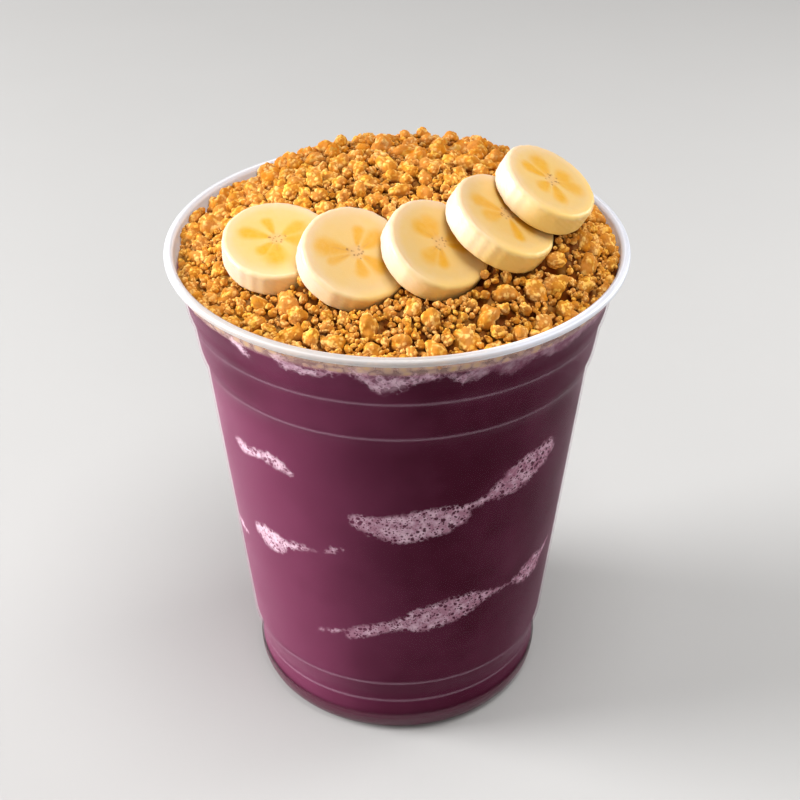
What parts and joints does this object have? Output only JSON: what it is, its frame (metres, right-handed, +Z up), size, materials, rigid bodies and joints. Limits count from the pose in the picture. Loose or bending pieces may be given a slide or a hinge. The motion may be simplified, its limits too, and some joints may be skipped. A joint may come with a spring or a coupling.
{
  "type": "acai cup with crumble and banana slices",
  "caption": "Tall clear ribbed plastic cup filled with purple acai cream, topped with a heap of golden crumble and a fan of banana slices.",
  "frame": {"origin": "centre of the cup's foot, on the surface that it stands on", "axes": "+Z up along the cup's axis; -Y towards the side on which the banana slices lie; +X to the right as seen from there"},
  "size_m": [0.116, 0.116, 0.1597],
  "materials": {
    "clear_cup": "thin clear plastic, faintly milky, with a whiter rolled rim",
    "acai_cream": "dense purple frozen acai cream with pale streaks of foam against the wall",
    "crumble": "dry golden-brown crumble of rounded, sandy lumps",
    "banana": "fresh moist banana flesh, pale side, yellow star round the centre"
  },
  "bodies": {
    "root": {"cup": "clear_cup", "acai": "acai_cream", "crumb_heap": "crumble", "banana_slice_1": "banana", "banana_slice_2": "banana", "banana_slice_3": "banana", "banana_slice_4": "banana", "banana_slice_5": "banana"}
  },
  "joints": []
}
